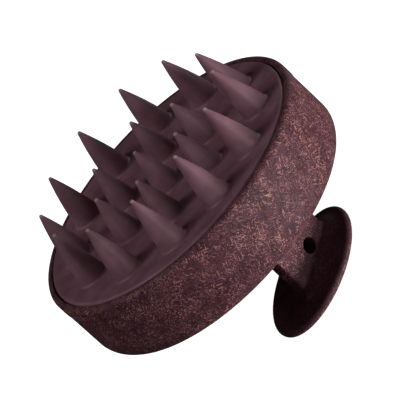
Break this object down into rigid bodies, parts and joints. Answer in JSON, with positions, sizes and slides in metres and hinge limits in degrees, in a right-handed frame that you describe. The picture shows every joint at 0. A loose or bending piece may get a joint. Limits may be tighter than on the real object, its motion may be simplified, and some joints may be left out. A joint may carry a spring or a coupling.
{
  "type": "scalp massager brush",
  "caption": "Round hand-held scalp brush: tapered silicone bristles on a dished pad in a moulded cup, with a flat hanging stem and an oval palm disc behind.",
  "frame": {"origin": "on the axis of the round body, level with the lowest point of the palm disc", "axes": "+Z is the way the bristles point; the stem's broad faces and its hanging hole point along Y; the palm disc is set off towards +X"},
  "size_m": [0.0754, 0.0754, 0.0629],
  "materials": {
    "fibre_composite": "satin moulded husk-fibre composite, speckled with short pale fibres",
    "silicone": "matte dark brown silicone",
    "inner_plastic": "plain dark moulded plastic"
  },
  "bodies": {
    "housing": {"housing": "fibre_composite", "carrier_plate": "inner_plastic", "silicone_pad": "silicone"},
    "bristle_centre": {"bristle_centre": "silicone"},
    "bristle_inner_1": {"bristle_inner_1": "silicone"},
    "bristle_inner_2": {"bristle_inner_2": "silicone"},
    "bristle_inner_3": {"bristle_inner_3": "silicone"},
    "bristle_inner_4": {"bristle_inner_4": "silicone"},
    "bristle_inner_5": {"bristle_inner_5": "silicone"},
    "bristle_inner_6": {"bristle_inner_6": "silicone"},
    "bristle_outer_01": {"bristle_outer_01": "silicone"},
    "bristle_outer_02": {"bristle_outer_02": "silicone"},
    "bristle_outer_03": {"bristle_outer_03": "silicone"},
    "bristle_outer_04": {"bristle_outer_04": "silicone"},
    "bristle_outer_05": {"bristle_outer_05": "silicone"},
    "bristle_outer_06": {"bristle_outer_06": "silicone"},
    "bristle_outer_07": {"bristle_outer_07": "silicone"},
    "bristle_outer_08": {"bristle_outer_08": "silicone"},
    "bristle_outer_09": {"bristle_outer_09": "silicone"},
    "bristle_outer_10": {"bristle_outer_10": "silicone"},
    "bristle_outer_11": {"bristle_outer_11": "silicone"},
    "bristle_outer_12": {"bristle_outer_12": "silicone"}
  },
  "joints": [
    {"name": "flex_centre", "type": "hinge", "parent": "housing", "child": "bristle_centre", "pos_m": [0, 0, 0.04783], "axis": [0, 1, 0], "range_deg": [-18, 18], "stiffness_Nm_per_rad": 0.006},
    {"name": "flex_inner_1", "type": "hinge", "parent": "housing", "child": "bristle_inner_1", "pos_m": [0.01151, 0.00874, 0.04808], "axis": [-0.6046, 0.7965, 0], "range_deg": [-18, 18], "stiffness_Nm_per_rad": 0.006},
    {"name": "flex_inner_2", "type": "hinge", "parent": "housing", "child": "bristle_inner_2", "pos_m": [-0.00181, 0.01434, 0.04808], "axis": [-0.9921, -0.1253, 0], "range_deg": [-18, 18], "stiffness_Nm_per_rad": 0.006},
    {"name": "flex_inner_3", "type": "hinge", "parent": "housing", "child": "bristle_inner_3", "pos_m": [-0.01332, 0.0056, 0.04808], "axis": [-0.3875, -0.9219, 0], "range_deg": [-18, 18], "stiffness_Nm_per_rad": 0.006},
    {"name": "flex_inner_4", "type": "hinge", "parent": "housing", "child": "bristle_inner_4", "pos_m": [-0.01151, -0.00874, 0.04808], "axis": [0.6046, -0.7965, 0], "range_deg": [-18, 18], "stiffness_Nm_per_rad": 0.006},
    {"name": "flex_inner_5", "type": "hinge", "parent": "housing", "child": "bristle_inner_5", "pos_m": [0.00181, -0.01434, 0.04808], "axis": [0.9921, 0.1253, 0], "range_deg": [-18, 18], "stiffness_Nm_per_rad": 0.006},
    {"name": "flex_inner_6", "type": "hinge", "parent": "housing", "child": "bristle_inner_6", "pos_m": [0.01332, -0.0056, 0.04808], "axis": [0.3875, 0.9219, 0], "range_deg": [-18, 18], "stiffness_Nm_per_rad": 0.006},
    {"name": "flex_outer_01", "type": "hinge", "parent": "housing", "child": "bristle_outer_01", "pos_m": [0.02727, 0.00354, 0.04873], "axis": [-0.1288, 0.9917, 0], "range_deg": [-18, 18], "stiffness_Nm_per_rad": 0.006},
    {"name": "flex_outer_02", "type": "hinge", "parent": "housing", "child": "bristle_outer_02", "pos_m": [0.02185, 0.0167, 0.04873], "axis": [-0.6074, 0.7944, 0], "range_deg": [-18, 18], "stiffness_Nm_per_rad": 0.006},
    {"name": "flex_outer_03", "type": "hinge", "parent": "housing", "child": "bristle_outer_03", "pos_m": [0.01057, 0.02539, 0.04873], "axis": [-0.9232, 0.3843, 0], "range_deg": [-18, 18], "stiffness_Nm_per_rad": 0.006},
    {"name": "flex_outer_04", "type": "hinge", "parent": "housing", "child": "bristle_outer_04", "pos_m": [-0.00354, 0.02727, 0.04873], "axis": [-0.9917, -0.1288, 0], "range_deg": [-18, 18], "stiffness_Nm_per_rad": 0.006},
    {"name": "flex_outer_05", "type": "hinge", "parent": "housing", "child": "bristle_outer_05", "pos_m": [-0.0167, 0.02185, 0.04873], "axis": [-0.7944, -0.6074, 0], "range_deg": [-18, 18], "stiffness_Nm_per_rad": 0.006},
    {"name": "flex_outer_06", "type": "hinge", "parent": "housing", "child": "bristle_outer_06", "pos_m": [-0.02539, 0.01057, 0.04873], "axis": [-0.3843, -0.9232, 0], "range_deg": [-18, 18], "stiffness_Nm_per_rad": 0.006},
    {"name": "flex_outer_07", "type": "hinge", "parent": "housing", "child": "bristle_outer_07", "pos_m": [-0.02727, -0.00354, 0.04873], "axis": [0.1288, -0.9917, 0], "range_deg": [-18, 18], "stiffness_Nm_per_rad": 0.006},
    {"name": "flex_outer_08", "type": "hinge", "parent": "housing", "child": "bristle_outer_08", "pos_m": [-0.02185, -0.0167, 0.04873], "axis": [0.6074, -0.7944, 0], "range_deg": [-18, 18], "stiffness_Nm_per_rad": 0.006},
    {"name": "flex_outer_09", "type": "hinge", "parent": "housing", "child": "bristle_outer_09", "pos_m": [-0.01057, -0.02539, 0.04873], "axis": [0.9232, -0.3843, 0], "range_deg": [-18, 18], "stiffness_Nm_per_rad": 0.006},
    {"name": "flex_outer_10", "type": "hinge", "parent": "housing", "child": "bristle_outer_10", "pos_m": [0.00354, -0.02727, 0.04873], "axis": [0.9917, 0.1288, 0], "range_deg": [-18, 18], "stiffness_Nm_per_rad": 0.006},
    {"name": "flex_outer_11", "type": "hinge", "parent": "housing", "child": "bristle_outer_11", "pos_m": [0.0167, -0.02185, 0.04873], "axis": [0.7944, 0.6074, 0], "range_deg": [-18, 18], "stiffness_Nm_per_rad": 0.006},
    {"name": "flex_outer_12", "type": "hinge", "parent": "housing", "child": "bristle_outer_12", "pos_m": [0.02539, -0.01057, 0.04873], "axis": [0.3843, 0.9232, 0], "range_deg": [-18, 18], "stiffness_Nm_per_rad": 0.006}
  ]
}
